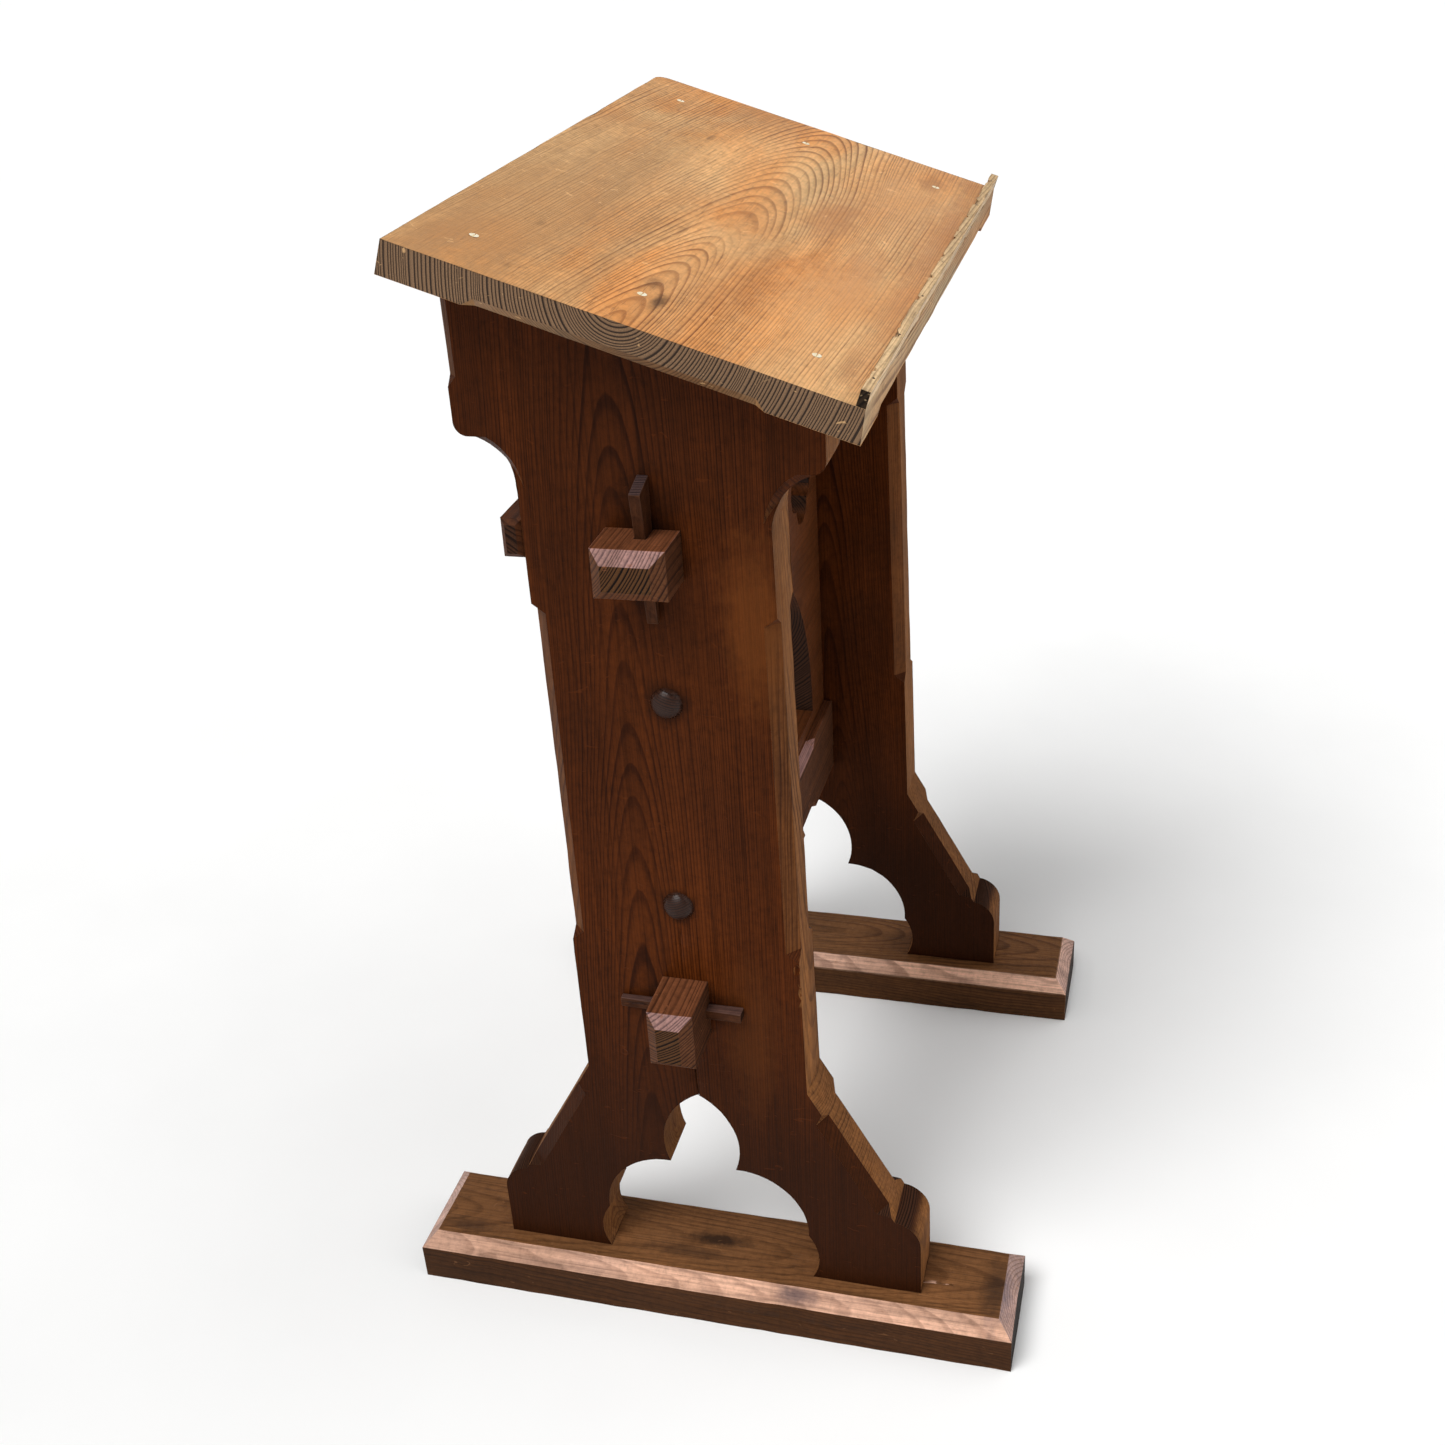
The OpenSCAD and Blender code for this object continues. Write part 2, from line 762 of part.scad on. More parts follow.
module left_upper_peg() {
    color(bog_wood) left_peg(1);
}

module left_lower_peg() {
    color(bog_wood) left_peg(0);
}

module right_upper_peg() {
    color(bog_wood) mirror([1, 0, 0]) left_peg(1);
}

module right_lower_peg() {
    color(bog_wood) mirror([1, 0, 0]) left_peg(0);
}

left_end_panel();
right_end_panel();
left_sledge_foot();
right_sledge_foot();
desk_board();
book_ledge();
ledge_nails();
left_desk_screws();
right_desk_screws();
top_rail();
bottom_rail();
tracery_panel();
rear_rail();
rear_rail_screws();
left_top_wedge();
right_top_wedge();
left_bottom_wedge();
right_bottom_wedge();
left_upper_peg();
left_lower_peg();
right_upper_peg();
right_lower_peg();
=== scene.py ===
import bpy, bmesh, math
from mathutils import Vector, Matrix, noise


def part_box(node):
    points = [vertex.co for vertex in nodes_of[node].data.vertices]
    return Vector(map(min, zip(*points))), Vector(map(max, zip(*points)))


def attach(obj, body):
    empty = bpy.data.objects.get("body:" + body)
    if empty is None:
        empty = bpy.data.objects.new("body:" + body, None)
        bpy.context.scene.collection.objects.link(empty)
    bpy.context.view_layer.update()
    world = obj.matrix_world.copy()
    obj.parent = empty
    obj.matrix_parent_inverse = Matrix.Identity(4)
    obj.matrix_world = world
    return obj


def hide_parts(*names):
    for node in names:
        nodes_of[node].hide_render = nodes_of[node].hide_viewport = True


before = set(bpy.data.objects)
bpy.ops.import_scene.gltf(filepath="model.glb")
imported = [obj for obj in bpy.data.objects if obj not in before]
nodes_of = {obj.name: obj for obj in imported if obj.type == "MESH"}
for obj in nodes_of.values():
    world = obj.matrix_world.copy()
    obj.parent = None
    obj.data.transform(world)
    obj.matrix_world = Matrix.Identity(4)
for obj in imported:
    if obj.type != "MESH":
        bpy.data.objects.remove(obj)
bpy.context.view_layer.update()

scene = bpy.context.scene


# ---------------------------------------------------------------- camera
def set_camera():
    """The photograph's view: 29 degrees down, from the left-hand end panel's side."""
    pitch, roll, az = math.radians(28.609), math.radians(-3.806), math.radians(16.825)
    fwd = Vector((math.cos(pitch) * math.cos(az), math.cos(pitch) * math.sin(az), -math.sin(pitch)))
    right = fwd.cross(Vector((0, 0, 1))).normalized()
    up = right.cross(fwd).normalized()
    r2 = right * math.cos(roll) + up * math.sin(roll)
    u2 = -right * math.sin(roll) + up * math.cos(roll)
    cam = bpy.data.cameras.new("camera")
    cam.lens = 44.03
    cam.sensor_width = 36.0
    cam.clip_end = 200
    ob = bpy.data.objects.new("camera", cam)
    scene.collection.objects.link(ob)
    turn = Matrix((r2, u2, -fwd)).transposed()
    ob.matrix_world = Matrix.Translation((-1.6005, -0.4408, 1.4388)) @ turn.to_4x4()
    scene.camera = ob


# ---------------------------------------------------------------- node helpers
class Graph:
    """Builds a material's nodes with few words."""

    def __init__(self, name):
        self.mat = bpy.data.materials.new(name)
        self.mat.use_nodes = True
        self.nt = self.mat.node_tree
        self.bsdf = self.nt.nodes["Principled BSDF"]

    def put(self, socket, value):
        if isinstance(value, bpy.types.NodeSocket):
            self.nt.links.new(value, socket)
        elif isinstance(value, (tuple, list)) and len(value) == 3 and len(socket.default_value) == 4:
            socket.default_value = (*value, 1.0)
        else:
            socket.default_value = value

    def math(self, op, a, b=0.0, c=0.0, clamp=False):
        n = self.nt.nodes.new("ShaderNodeMath")
        n.operation = op
        n.use_clamp = clamp
        for i, v in enumerate((a, b, c)):
            self.put(n.inputs[i], v)
        return n.outputs[0]

    def vmath(self, op, a, b=(0, 0, 0)):
        n = self.nt.nodes.new("ShaderNodeVectorMath")
        n.operation = op
        self.put(n.inputs[0], a)
        if op == "SCALE":
            self.put(n.inputs["Scale"], b)
        else:
            self.put(n.inputs[1], b)
        return n.outputs["Value"] if op in ("DOT_PRODUCT", "LENGTH") else n.outputs["Vector"]

    def noise(self, vec, scale=1.0, detail=2.0, rough=0.5, dist=0.0, colour=False, dims="3D", w=None):
        n = self.nt.nodes.new("ShaderNodeTexNoise")
        n.noise_dimensions = dims
        if vec is not None:
            self.put(n.inputs["Vector"], vec)
        if w is not None:
            self.put(n.inputs["W"], w)
        n.inputs["Scale"].default_value = scale
        n.inputs["Detail"].default_value = detail
        n.inputs["Roughness"].default_value = rough
        n.inputs["Distortion"].default_value = dist
        return n.outputs["Color" if colour else "Fac"]

    def ramp(self, fac, *stops):
        """A curve from number to number: (place, value) pairs."""
        n = self.nt.nodes.new("ShaderNodeValToRGB")
        r = n.color_ramp
        while len(r.elements) > 1:
            r.elements.remove(r.elements[-1])
        first = True
        for place, value in stops:
            e = r.elements[0] if first else r.elements.new(place)
            first = False
            e.position = place
            e.color = (*value, 1) if isinstance(value, (tuple, list)) else (value, value, value, 1)
        self.put(n.inputs[0], fac)
        return n.outputs[0]

    def mix(self, fac, a, b, kind="MIX"):
        n = self.nt.nodes.new("ShaderNodeMix")
        n.data_type = "RGBA"
        n.blend_type = kind
        self.put(n.inputs[0], fac)
        self.put(n.inputs[6], a)
        self.put(n.inputs[7], b)
        return n.outputs[2]

    def combine(self, x, y, z):
        n = self.nt.nodes.new("ShaderNodeCombineXYZ")
        for i, v in enumerate((x, y, z)):
            self.put(n.inputs[i], v)
        return n.outputs[0]

    def split(self, vec):
        n = self.nt.nodes.new("ShaderNodeSeparateXYZ")
        self.put(n.inputs[0], vec)
        return n.outputs

    def coord(self, which="Object"):
        n = self.nt.nodes.new("ShaderNodeTexCoord")
        return n.outputs[which]

    def attr(self, name):
        n = self.nt.nodes.new("ShaderNodeAttribute")
        n.attribute_name = name
        return n.outputs["Fac"]

    def bump(self, height, distance, strength=1.0, normal=None):
        n = self.nt.nodes.new("ShaderNodeBump")
        n.inputs["Distance"].default_value = distance
        n.inputs["Strength"].default_value = strength
        self.put(n.inputs["Height"], height)
        if normal is not None:
            self.put(n.inputs["Normal"], normal)
        return n.outputs[0]


# ---------------------------------------------------------------- wood
# Strength of the fine speckle, and depths of the relief in metres
SPECKLE = 0.24
GRAIN_DEPTH = 0.00035
PIT_DEPTH = 0.0012


class Timber(Graph):
    """A graph in a board's own axes: a runs along the grain, b and c run across it from the pith."""

    def __init__(self, name, grain, side, pith, seed):
        super().__init__(name)
        self.grain = Vector(grain).normalized()
        self.side = Vector(side).normalized()
        self.third = self.grain.cross(self.side).normalized()
        self.seed = seed
        self.p = self.coord("Object")
        self.normal = self.coord("Normal")
        q = self.vmath("SUBTRACT", self.p, pith)
        self.a, self.b, self.c = (self.vmath("DOT_PRODUCT", q, way)
                                  for way in (self.grain, self.side, self.third))
        self.far_a = self.math("ADD", self.a, seed)

    def drawn(self, lengthwise, crosswise):
        """Coordinates for a noise that is drawn out along the grain."""
        return self.combine(self.math("MULTIPLY", self.far_a, lengthwise),
                            self.math("MULTIPLY", self.b, crosswise),
                            self.math("MULTIPLY", self.c, crosswise))

    def facing(self, way, *stops):
        """How squarely a face looks along a direction, either way, through a curve."""
        return self.ramp(self.math("ABSOLUTE", self.vmath("DOT_PRODUCT", self.normal, way)), *stops)

    def times(self, col, tone, amount=1.0):
        """A colour multiplied by a tone, by an amount."""
        return self.mix(amount, col, self.mix(1.0, col, tone, "MULTIPLY"))

    def around_half(self, value, size):
        """A noise as a swing of the given size round nought."""
        return self.math("MULTIPLY", self.math("SUBTRACT", value, 0.5), size)


def year_rings(g, lean, ring, wob, wild):
    """Rings round the pith line: 0 in the early wood, up to 1 in the late wood."""
    slow = g.noise(g.drawn(2.6, 5.0), 1.0, 2.0, 0.45, colour=True)
    sway = g.split(g.vmath("SUBTRACT", slow, (0.5, 0.5, 0.5)))
    off = [g.math("ADD", g.math("MULTIPLY_ADD", g.a, lean[i], way), g.math("MULTIPLY", sway[i], wob * 2))
           for i, way in enumerate((g.b, g.c))]
    fine = g.noise(g.drawn(9.0, 55.0), 1.0, 3.0, 0.55)
    r = g.math("ADD", g.vmath("LENGTH", g.combine(off[0], off[1], 0.0)), g.around_half(fine, ring * wild))
    years = g.math("DIVIDE", r, ring)
    bunch = g.noise(None, 0.09, 2.0, 0.5, dims="1D", w=years)
    years = g.math("ADD", years, g.math("MULTIPLY", bunch, 7.0))
    band = g.ramp(g.math("FRACT", years), (0.0, 0.0), (0.34, 0.05), (0.60, 0.26), (0.74, 0.85),
                  (0.83, 1.0), (0.92, 0.95), (0.98, 0.0))
    white = g.nt.nodes.new("ShaderNodeTexWhiteNoise")
    white.noise_dimensions = "1D"
    g.put(white.inputs["W"], g.math("FLOOR", years))
    return g.math("MULTIPLY", band, g.math("MULTIPLY_ADD", white.outputs["Value"], 0.42, 0.58))


def clean_wood(g, band, early, late, contrast, fade, fibre):
    """Planed wood: rings, slow tone, fibres, short resin dashes and a fine speckle."""
    g.streak = g.noise(g.drawn(5.0, 420.0), 1.0, 5.0, 0.62)
    g.dash = g.ramp(g.noise(g.drawn(38.0, 900.0), 1.0, 2.0, 0.5), (0.60, 0.0), (0.74, 1.0))
    g.broad = g.noise(g.drawn(1.6, 26.0), 1.0, 4.0, 0.6)
    bleached = g.noise(g.vmath("ADD", g.p, (g.seed, 1.1, g.seed)), 5.0, 3.0, 0.5)
    shown = g.math("MULTIPLY", band, g.ramp(bleached, (0.36, 1.0 - fade), (0.60, 1.0)))
    col = g.mix(g.math("MULTIPLY", shown, contrast, clamp=True), early, late)
    col = g.mix(1.0, col, g.ramp(g.broad, (0.30, 0.80), (0.70, 1.14)), "MULTIPLY")
    fibres = g.ramp(g.streak, (0.30, 1.0 - fibre), (0.52, 1.0), (0.72, 1.0 + 0.45 * fibre))
    col = g.mix(1.0, col, fibres, "MULTIPLY")
    col = g.mix(g.math("MULTIPLY", g.dash, 0.45), col, tuple(0.6 * v for v in late))
    speck = g.noise(g.vmath("ADD", g.p, (0.4, g.seed, 0.8)), 130.0, 6.0, 0.72)
    speck = g.ramp(speck, (0.32, 1.0 - SPECKLE), (0.50, 1.0), (0.68, 1.0 + 0.6 * SPECKLE))
    return g.mix(1.0, col, speck, "MULTIPLY")


def patina(g, col, stain, stain_amount, soil_fine, tint):
    """Blotches of old polish and dirt, and warmer or paler patches."""
    g.blot = g.noise(g.vmath("ADD", g.p, (g.seed, g.seed * 0.7, 0.3)), 4.2, 6.0, 0.58, 0.6)
    g.smear = g.noise(g.drawn(7.0, 22.0), soil_fine, 6.0, 0.66, 0.4)
    g.soil = g.math("MULTIPLY", g.ramp(g.blot, (0.46, 0.0), (0.68, 1.0)),
                    g.ramp(g.smear, (0.30, 0.35), (0.68, 1.0)))
    col = g.mix(g.math("MULTIPLY", g.soil, stain_amount), col, stain)
    if tint is not None:
        tone, amount = tint
        patch = g.ramp(g.noise(g.drawn(3.2, 9.0), 1.0, 4.0, 0.55, 0.5), (0.42, 0.0), (0.66, 1.0))
        col = g.times(col, tone, g.math("MULTIPLY", patch, amount))
    return col


def darken_low(g, col, low_darkening, stain):
    """Darkens the lower end of a standing board, but not on the faces that get the tone by facing."""
    height = g.math("ADD", g.split(g.p)[2], g.around_half(g.blot, 0.16))
    low = g.ramp(height, (0.20, 1.0), (0.40, 0.0))
    if g.side_on is not None:
        low = g.math("MULTIPLY", low, g.math("SUBTRACT", 1.0, g.side_on))
    return g.mix(g.math("MULTIPLY", low, low_darkening), col, stain)


def one_mark(g, col, place, long, wide, colour, strength):
    """A single stain: half-length along the grain, half-width across it, with a ragged outline."""
    m = g.vmath("SUBTRACT", g.p, place)
    sizes = ((g.grain, long), (g.side, wide), (g.third, max(wide, 0.02)))
    m = g.combine(*(g.math("DIVIDE", g.vmath("DOT_PRODUCT", m, way), size) for way, size in sizes))
    rag = g.around_half(g.noise(g.p, 75.0, 4.0, 0.6), 1.1)
    far = g.math("ADD", g.vmath("LENGTH", m), rag)
    return g.mix(g.ramp(far, (0.35, strength), (1.0, 0.0)), col, colour)


def end_grain(g, col, band, tones):
    """End grain drinks more stain and shows the rings at full strength."""
    pore = g.ramp(g.noise(g.p, 1500.0, 2.0, 0.5), (0.35, 0.72), (0.65, 1.15))
    ends = g.mix(g.ramp(band, (0.06, 0.0), (0.40, 1.0)), *tones)
    ends = g.mix(1.0, ends, pore, "MULTIPLY")
    ends = g.mix(g.math("MULTIPLY", g.soil, 0.22), ends, tones[1])
    return g.mix(g.end, col, ends)


def painted_chamfer_highlight(g, col, tone, amount, on_tops):
    """Painted highlight: chamfers that look up, and tops where asked, are made paler and bluer, standing in
    for the light they reflect.
    """
    up = g.split(g.normal)[2]
    slant = g.ramp(up, (0.50, 0.0), (0.62, 1.0), (0.80, 1.0), (0.90, on_tops))
    slant = g.math("MULTIPLY", g.math("MULTIPLY", slant, amount), g.ramp(g.broad, (0.30, 0.65), (0.60, 1.0)))
    return g.times(col, tone, slant)


def rubbed_edges(g, col, worn, amount):
    """Bare wood on the arrises, broken up by a noise."""
    rub = g.noise(g.vmath("ADD", g.p, (g.seed, 0.2, 0.9)), 34.0, 5.0, 0.65)
    edge = g.math("MULTIPLY", g.ramp(g.attr("wear"), (0.10, 0.0), (0.70, 1.0)),
                  g.ramp(rub, (0.38, 0.0), (0.60, 1.0)))
    return g.mix(g.math("MULTIPLY", edge, amount), col, worn)


def surface(g, band, rough, spec):
    """Gloss and relief: rings and fibres stand up a little, dashes and scratches lie deeper."""
    ro = g.math("ADD", rough, g.around_half(g.smear, 0.28))
    ro = g.math("ADD", ro, g.around_half(g.streak, 0.22))
    ro = g.math("ADD", ro, g.math("MULTIPLY", g.end, 0.30), clamp=True)
    if g.side_on is not None:
        ro = g.math("ADD", ro, g.math("MULTIPLY", g.side_on, 0.35), clamp=True)
    g.put(g.bsdf.inputs["Roughness"], ro)
    g.bsdf.inputs["Specular IOR Level"].default_value = spec
    height = g.math("ADD", g.math("MULTIPLY", band, 0.35), g.math("MULTIPLY", g.streak, 0.5))
    height = g.math("SUBTRACT", height, g.math("MULTIPLY", g.dash, 0.35))
    height = g.math("SUBTRACT", height, g.math("MULTIPLY", g.scratch, 0.5))
    pits = g.noise(g.p, 26.0, 4.0, 0.55)
    g.put(g.bsdf.inputs["Normal"], g.bump(pits, PIT_DEPTH, 0.5, g.bump(height, GRAIN_DEPTH)))


def wood(name, grain, side, pith, lean, ring, wob, early, late, stain, stain_amount, worn, worn_amount,
         rough, spec, seed, contrast=1.0, wild=0.35, fade=0.35, fibre=0.42, soil_fine=1.0, tint=None,
         faces=None, arris=None, low_darkening=0.0, underside_shade=1.0, marks=(),
         endtones=((0.05, 0.02, 0.01), (0.012, 0.005, 0.003))):
    """Solid pitch pine: rings round a pith line, seen as arches on the faces and as arcs on the end grain.

    faces is (direction, tone, amount) for the faces that look that way, a painted light and shade;
    arris the same for chamfers that look up, a painted highlight; and under a factor of painted shade for
    faces that look down.
    """
    g = Timber(name, grain, side, pith, seed)
    band = year_rings(g, lean, ring, wob, wild)
    g.end = g.facing(g.grain, (0.62, 0.0), (0.86, 1.0))
    g.side_on = g.facing(faces[0], (0.60, 0.0), (0.88, 1.0)) if faces else None
    col = clean_wood(g, band, early, late, contrast, fade, fibre)
    col = patina(g, col, stain, stain_amount, soil_fine, tint)
    # painted light and shade: the faces that look along the given direction are made lighter or darker by a
    # tone
    if faces:
        col = g.times(col, faces[1], g.math("MULTIPLY", g.side_on, faces[2]))
    # darker towards the bottom of the board
    if low_darkening > 0:
        col = darken_low(g, col, low_darkening, stain)
    # painted shade: faces that look down are darkened
    if underside_shade < 1.0:
        down = g.math("MULTIPLY", g.split(g.normal)[2], -1.0)
        col = g.times(col, (underside_shade, underside_shade, underside_shade), g.ramp(down, (0.15, 0.0), (0.45, 1.0)))
    for mark in marks:
        col = one_mark(g, col, *mark)
    col = end_grain(g, col, band, endtones)
    # painted highlight on the chamfers that look up
    if arris is not None:
        col = painted_chamfer_highlight(g, col, *arris)
    col = rubbed_edges(g, col, worn, worn_amount)
    scratch = g.noise(g.vmath("MULTIPLY", g.p, (95.0, 60.0, 140.0)), 1.0, 2.0, 0.4, 1.4)
    g.scratch = g.ramp(scratch, (0.70, 0.0), (0.76, 1.0))
    col = g.mix(g.math("MULTIPLY", g.scratch, 0.35), col, tuple(1.5 * v for v in early))
    g.put(g.bsdf.inputs["Base Color"], col)
    surface(g, band, rough, spec)
    return g.mat


def metal(name, colour, dull, rough, spots, metallic):
    """Brass or iron with dull patches and dark spots."""
    g = Graph(name)
    p = g.coord("Object")
    n = g.noise(p, 900.0, 4.0, 0.6)
    big = g.noise(p, 240.0, 3.0, 0.6)
    col = g.mix(g.ramp(big, (0.42, 0.0), (0.62, 1.0)), colour, dull)
    col = g.mix(g.math("MULTIPLY", g.ramp(n, (0.56, 0.0), (0.66, 1.0)), spots), col, (0.03, 0.02, 0.012))
    g.put(g.bsdf.inputs["Base Color"], col)
    g.bsdf.inputs["Metallic"].default_value = metallic
    uneven = g.math("MULTIPLY", g.math("SUBTRACT", n, 0.5), 0.4)
    g.put(g.bsdf.inputs["Roughness"], g.math("ADD", rough, uneven))
    g.put(g.bsdf.inputs["Normal"], g.bump(n, 0.0001))
    return g.mat


# ---------------------------------------------------------------- worn copies of the boards
# Edges sharper than this many degrees are arrises
ARRIS_ANGLE = 24


def as_mesh(bm, name):
    me = bpy.data.meshes.new(name)
    bm.to_mesh(me)
    bm.free()
    return me


def sliced(bm, axis, step, lo, hi):
    """Cuts the mesh by planes about a step apart, so that there are points to move."""
    n = max(1, round((hi - lo) / step))
    for i in range(1, n):
        co = Vector((0, 0, 0))
        co[axis] = lo + (hi - lo) * i / n + 0.00013
        no = Vector((0, 0, 0))
        no[axis] = 1
        geom = bm.verts[:] + bm.edges[:] + bm.faces[:]
        bmesh.ops.bisect_plane(bm, geom=geom, dist=1e-6, plane_co=co, plane_no=no)


def worn_mesh(node, steps, width, wave=0.0004, dent=0.0008, seed=0.0, flat=0.00012, lump=0.0):
    """A board with rubbed, slightly uneven edges, made from the CAD shape.

    steps are the slices along X, Y and Z, width the rounding of the arrises; wave, dent, flat and lump are
    how far the noises move the edges and the faces.
    """
    src = nodes_of[node]
    bm = bmesh.new()
    bm.from_mesh(src.data)
    bmesh.ops.remove_doubles(bm, verts=bm.verts, dist=2e-6)
    bmesh.ops.dissolve_limit(bm, angle_limit=math.radians(0.6), verts=bm.verts[:], edges=bm.edges[:])
    lo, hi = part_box(node)
    for axis, step in enumerate(steps):
        if step:
            sliced(bm, axis, step, lo[axis], hi[axis])
    sharp = [e for e in bm.edges
             if len(e.link_faces) == 2 and e.calc_face_angle(0) > math.radians(ARRIS_ANGLE)]
    wear = bm.verts.layers.float.new("wear")
    res = bmesh.ops.bevel(bm, geom=sharp, offset=width, offset_type="OFFSET", segments=2, profile=0.6,
                          affect="EDGES", clamp_overlap=True)
    # the rows beside an arris keep 0, so that the wear stays on the arris and leaves the flat faces alone
    rounded = set(res["faces"])
    soft = {v for f in rounded for v in f.verts}
    for v in soft:
        if all(f in rounded for f in v.link_faces):
            v[wear] = 1.0
    bm.normal_update()
    moves = []
    for v in bm.verts:
        p = v.co + Vector((seed, seed * 1.7, -seed))
        n = v.normal
        k = flat * noise.fractal(p * 9.0, 1.0, 2.0, 2)
        if v in soft:
            k += wave * noise.fractal(p * 38.0, 1.0, 2.0, 3) - wave * 0.5
            deep = noise.noise(p * 60.0 + Vector((3.1, 0, 0)))
            if deep > 0.42:
                k -= dent * (deep - 0.42) / 0.3
            big = noise.noise(p * 22.0 + Vector((0, 7.7, 0)))
            if big > 0.35:
                k -= lump * (big - 0.35) / 0.4
        moves.append((v, n * k))
    for v, m in moves:
        v.co += m
    for f in bm.faces:
        f.smooth = True
    return as_mesh(bm, "worn_" + node)


def split_line(name, points, width, depth, seed):
    """A drying crack: a thin V-shaped sliver to be cut out of a board. Each point is (place, inward)."""
    bm = bmesh.new()
    n = len(points)
    rings = []
    for i, (p, inward) in enumerate(points):
        p, inward = Vector(p), Vector(inward).normalized()
        along = (Vector(points[min(i + 1, n - 1)][0]) - Vector(points[max(i - 1, 0)][0])).normalized()
        across = along.cross(inward).normalized()
        taper = min(1.0, 0.12 + 2.4 * min(i, n - 1 - i) / n)
        jog = 0.0007 * noise.noise(Vector((i * 0.9, seed, 0.0)))
        c = p + across * jog
        w = width * taper * (0.75 + 0.5 * abs(noise.noise(Vector((i * 0.7, seed, 4.0)))))
        mouth = c - inward * 0.002
        root = c + inward * depth * taper
        corners = (mouth + across * w * 0.6, mouth - across * w * 0.6,
                   root - across * w * 0.06, root + across * w * 0.06)
        rings.append([bm.verts.new(corner) for corner in corners])
    for r0, r1 in zip(rings, rings[1:]):
        for k in range(4):
            bm.faces.new((r0[k], r0[(k + 1) % 4], r1[(k + 1) % 4], r1[k]))
    bm.faces.new(rings[0][::-1])
    bm.faces.new(rings[-1])
    bmesh.ops.recalc_face_normals(bm, faces=bm.faces)
    return as_mesh(bm, name)


def chip(name, place, size, seed):
    """A ragged lump, to bite a splinter out of an arris."""
    bm = bmesh.new()
    bmesh.ops.create_icosphere(bm, subdivisions=2, radius=1.0)
    for v in bm.verts:
        k = 1.0 + 0.35 * noise.noise(v.co * 1.9 + Vector((seed, 0, 0)))
        v.co = Vector((v.co.x * size[0], v.co.y * size[1], v.co.z * size[2])) * k + Vector(place)
    return as_mesh(bm, name)


def cut(ob, cutters):
    """Takes cracks and splinters out of a board, and leaves no helper object behind."""
    for me in cutters:
        tool = bpy.data.objects.new(me.name, me)
        scene.collection.objects.link(tool)
        m = ob.modifiers.new("crack", "BOOLEAN")
        m.operation = "DIFFERENCE"
        m.solver = "MANIFOLD"
        m.object = tool
        for other in ob.modifiers:
            if other != m:
                other.show_viewport = False
        bpy.context.view_layer.update()
        seen = ob.evaluated_get(bpy.context.evaluated_depsgraph_get())
        done = bpy.data.meshes.new_from_object(seen)
        ob.modifiers.remove(m)
        for other in ob.modifiers:
            other.show_viewport = True
        ob.data = done
        bpy.data.objects.remove(tool)


def run(a, b, n, inward, bow, across):
    """n places on a slightly bowed line from a to b."""
    a, b, across = Vector(a), Vector(b), Vector(across)
    out = []
    for i in range(n):
        t = i / (n - 1)
        out.append((a.lerp(b, t) + across * bow * math.sin(math.pi * t), inward))
    return out


def worn(node, mat, slot, steps, width, body="stand", **kw):
    """Puts a worn copy of a CAD node in its place."""
    me = worn_mesh(node, steps, width, **kw)
    me.materials.append(mat)
    ob = bpy.data.objects.new("worn_" + node, me)
    scene.collection.objects.link(ob)
    m = ob.modifiers.new("even_normals", "WEIGHTED_NORMAL")
    m.weight = 60
    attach(ob, body)
    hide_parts(node)
    return ob


# ---------------------------------------------------------------- places worked out from the frame
set_camera()
X, Y, Z = Vector((1, 0, 0)), Vector((0, 1, 0)), Vector((0, 0, 1))
# The desk slopes by 18.4 degrees: slope runs up it, off_desk stands square on it
tilt = math.radians(18.4)
slope = Vector((0, math.cos(tilt), math.sin(tilt)))
off_desk = Vector((0, -slope.z, slope.y))

desk_lo, desk_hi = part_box("desk_board")
desk_mid = (desk_lo + desk_hi) / 2
panel_lo, panel_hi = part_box("left_end_panel")
foot_lo, foot_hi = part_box("left_sledge_foot")
# Height of the point of the panel's arch
ARCH_APEX = 0.2772


def on_desk_top(x, down):
    """A place on the desk's top face: x, and metres down the slope from the high edge."""
    return (x, desk_hi.y - down * math.cos(tilt), desk_hi.z - down * math.sin(tilt))


# ---------------------------------------------------------------- single stains
# Each mark is place, half-length along the grain, half-width, colour, strength
DARK = (0.050, 0.022, 0.010)
GRIME = (0.010, 0.0040, 0.0022)
TAR = (0.016, 0.008, 0.005)

desk_marks = [
    (on_desk_top(-0.300, 0.215), 0.030, 0.007, DARK, 0.75),
    (on_desk_top(-0.262, 0.198), 0.018, 0.012, DARK, 0.35),
    (on_desk_top(-0.330, 0.100), 0.008, 0.005, DARK, 0.40),
    (on_desk_top(-0.215, 0.085), 0.010, 0.006, DARK, 0.45),
    (on_desk_top(0.020, 0.050), 0.012, 0.006, DARK, 0.30),
    (on_desk_top(0.190, 0.120), 0.020, 0.004, DARK, 0.30),
    (on_desk_top(0.300, 0.340), 0.040, 0.016, (0.20, 0.085, 0.035), 0.5),
    (on_desk_top(-0.290, 0.372), 0.050, 0.010, (0.26, 0.10, 0.035), 0.5),
    (on_desk_top(-0.110, 0.180), 0.020, 0.004, DARK, 0.25),
    (on_desk_top(0.060, 0.280), 0.110, 0.030, (0.40, 0.17, 0.065), 0.55),
    (on_desk_top(-0.080, 0.335), 0.120, 0.028, (0.46, 0.19, 0.070), 0.45),
    (on_desk_top(-0.300, 0.040), 0.090, 0.030, (0.40, 0.20, 0.090), 0.4),
    (on_desk_top(-0.180, 0.060), 0.420, 0.120, (0.42, 0.230, 0.100), 0.62),
    (on_desk_top(0.340, 0.150), 0.060, 0.060, (0.42, 0.21, 0.090), 0.35),
    (on_desk_top(-0.220, 0.335), 0.240, 0.070, (0.90, 0.480, 0.200), 0.36),
    (on_desk_top(0.180, 0.330), 0.260, 0.085, (0.52, 0.230, 0.084), 0.46),
    (on_desk_top(0.000, 0.382), 0.420, 0.022, (0.52, 0.220, 0.080), 0.48),
]
